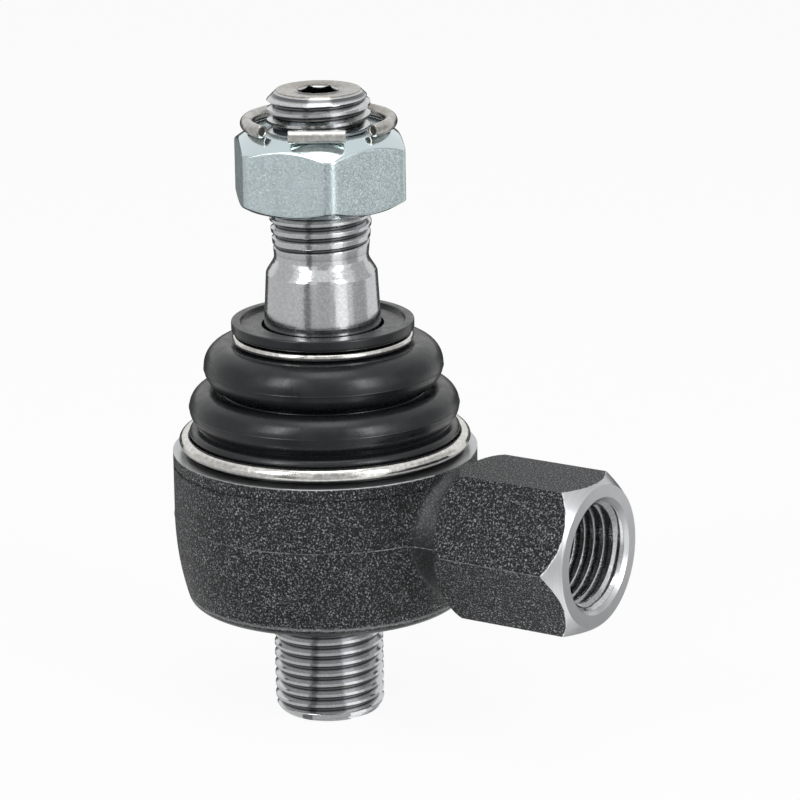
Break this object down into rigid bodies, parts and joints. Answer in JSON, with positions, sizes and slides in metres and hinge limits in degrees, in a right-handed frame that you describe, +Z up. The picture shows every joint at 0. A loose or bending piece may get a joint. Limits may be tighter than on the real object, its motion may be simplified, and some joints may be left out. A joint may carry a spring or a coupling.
{
  "type": "angle ball joint",
  "caption": "Angle ball joint: a forged hub with a female-threaded hexagon arm, a booted tapered ball pin with nut, and a threaded stud below.",
  "frame": {"origin": "centre of the ball", "axes": "+Z up the ball pin, +X along the arm towards the mouth of its female thread"},
  "size_m": [0.0643, 0.0418, 0.088],
  "materials": {
    "forged_steel": "satin",
    "ground_steel": "polished",
    "zinc_plate": "satin",
    "wire_steel": "polished",
    "dull_wire": "satin",
    "boot_rubber": "satin",
    "seat_plastic": "satin",
    "spring_steel": "satin",
    "stud_steel": "satin"
  },
  "bodies": {
    "housing": {"housing": "forged_steel", "cover_with_stud": "stud_steel", "upper_ball_seat": "seat_plastic", "lower_ball_seat": "seat_plastic", "disc_spring": "spring_steel", "boot_lower_clamp": "wire_steel"},
    "boot": {"dust_boot": "boot_rubber"},
    "boot_neck": {"boot_upper_clamp": "wire_steel"},
    "pin": {"ball_pin": "ground_steel"},
    "lock": {"lock_ring": "dull_wire", "lock_bar": "wire_steel"},
    "nut": {"hex_nut": "zinc_plate"}
  },
  "joints": [
    {"name": "pin_swing_direction", "type": "hinge", "parent": "housing", "child": "boot", "pos_m": [0, 0, 0], "axis": [0, 0, 1], "continuous": true},
    {"name": "pin_tilt", "type": "hinge", "parent": "boot", "child": "boot_neck", "pos_m": [0, 0, 0], "axis": [0, 1, 0], "range_deg": [-18, 18], "deforming": ["dust_boot"]},
    {"name": "pin_turn", "type": "hinge", "parent": "boot_neck", "child": "pin", "pos_m": [0, 0, 0], "axis": [0, 0, 1], "continuous": true},
    {"name": "nut_travel", "type": "slide", "parent": "pin", "child": "lock", "axis": [0, 0, 1], "range_m": [-0.00525, 0.01425]},
    {"name": "nut_turn", "type": "hinge", "parent": "lock", "child": "nut", "pos_m": [0, 0, 0.0487], "axis": [0, 0, 1], "range_deg": [-1260, 3420]}
  ],
  "couplings": [
    {"joint": "nut_travel", "follows": "nut_turn", "m_per_rad": 0.00023873}
  ]
}
